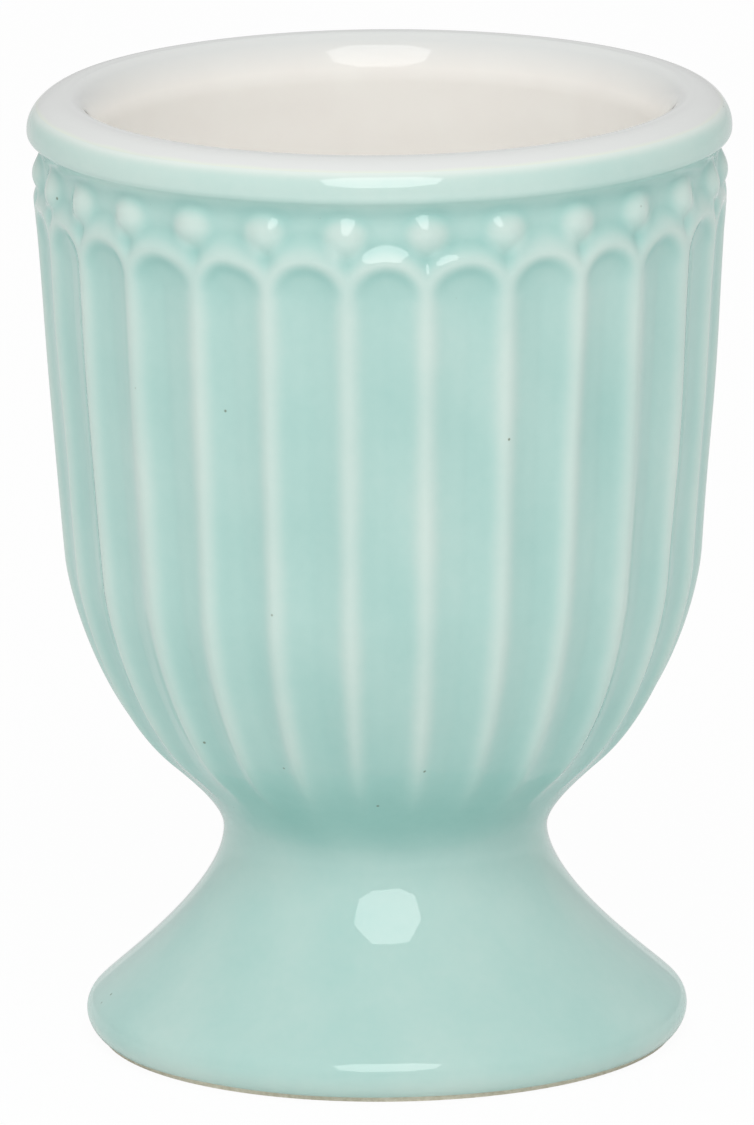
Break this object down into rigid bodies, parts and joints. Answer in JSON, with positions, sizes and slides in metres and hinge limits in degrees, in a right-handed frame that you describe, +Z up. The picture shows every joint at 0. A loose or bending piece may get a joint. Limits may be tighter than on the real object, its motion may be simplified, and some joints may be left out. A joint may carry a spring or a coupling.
{
  "type": "egg cup",
  "caption": "Footed stoneware egg cup with a fluted bowl, arched flute tops, a row of pearls under a rolled lip and a flared foot, glazed mint outside and white inside.",
  "frame": {"origin": "on the surface that the cup stands on, in the middle of the foot", "axes": "+Z up along the cup's axis of turning; +X and +Y are level, with the pictured side facing -Y"},
  "size_m": [0.0474, 0.0474, 0.065],
  "materials": {
    "clay": "bare fired buff stoneware, matt and faintly gritty",
    "slip": "fired slip, matt",
    "mint_glaze": "glossy translucent mint glaze, pale where it is thin on ribs and edges",
    "white_glaze": "glossy warm white glaze"
  },
  "bodies": {
    "root": {"bowl": "clay", "pearls": "mint_glaze", "joining_slip": "slip", "foot": "clay", "bowl_glaze": "mint_glaze", "lip_glaze": "mint_glaze", "foot_glaze": "mint_glaze", "lining_glaze": "white_glaze", "underside_glaze": "mint_glaze"}
  },
  "joints": []
}
